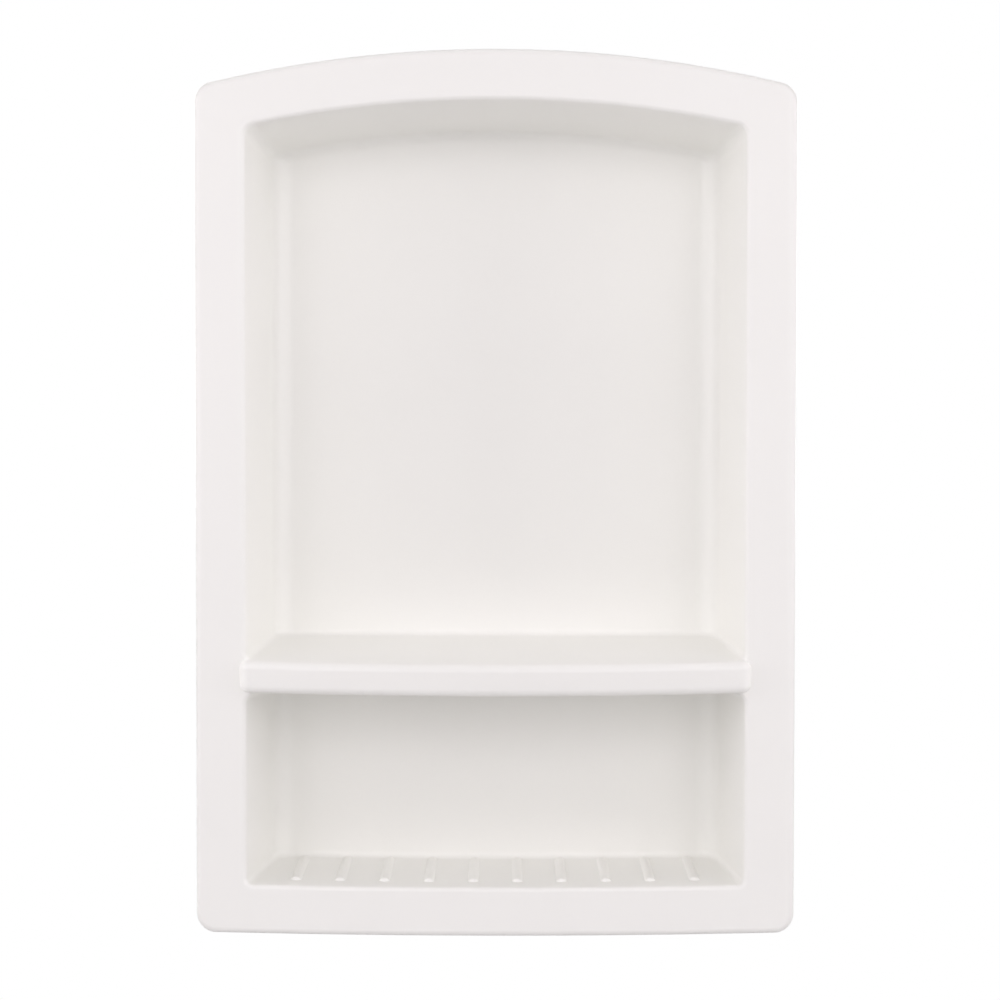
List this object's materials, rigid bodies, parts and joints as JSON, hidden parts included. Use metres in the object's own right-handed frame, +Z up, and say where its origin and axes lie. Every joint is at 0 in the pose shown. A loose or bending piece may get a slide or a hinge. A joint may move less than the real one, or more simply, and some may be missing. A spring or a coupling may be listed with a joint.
{
  "type": "recessed soap dish",
  "caption": "Arched one-piece shower niche with a bow-front shelf over a ribbed soap compartment, let into a wall behind a flat flange.",
  "frame": {"origin": "middle of the flange's width and height, on the plane of its back face, which lies on the finished wall", "axes": "+Z up, +X to the right seen from the room, +Y into the wall, so that the front faces -Y"},
  "size_m": [0.381, 0.1212, 0.5634],
  "materials": {
    "solid_surface": "satin"
  },
  "bodies": {
    "root": {"recessed_soap_dish": "solid_surface"}
  },
  "joints": []
}
